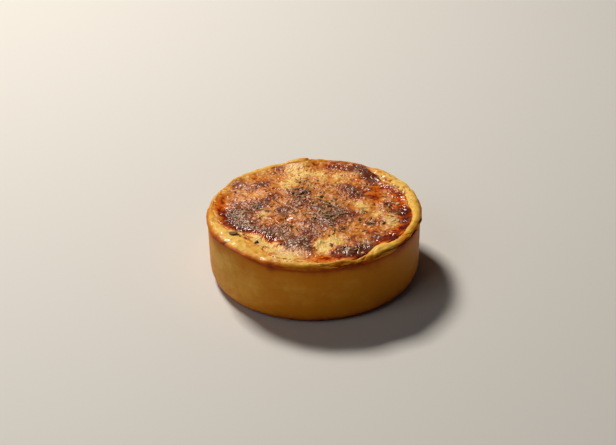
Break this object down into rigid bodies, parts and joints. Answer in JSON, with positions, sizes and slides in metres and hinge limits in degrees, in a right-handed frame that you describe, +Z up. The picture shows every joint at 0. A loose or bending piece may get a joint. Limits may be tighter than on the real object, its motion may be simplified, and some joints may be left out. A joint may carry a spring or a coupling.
{
  "type": "chicken pie",
  "caption": "Deep open-topped round pie: a straight-sided pastry case with a rolled uneven rim, baked full of filling under browned cheese and dried herbs.",
  "frame": {"origin": "centre of the flat base, on the surface that the pie stands on", "axes": "+Z up along the pie's round axis, -Y towards the viewer"},
  "size_m": [0.105, 0.1049, 0.0346],
  "materials": {
    "golden_pastry": "matt golden baked pastry, a little glossy and browner on the rim",
    "browned_cheese": "glossy baked cheese, pale yellow to dark brown, with dried green herbs"
  },
  "bodies": {
    "root": {"pastry_case": "golden_pastry", "filling": "browned_cheese"}
  },
  "joints": []
}
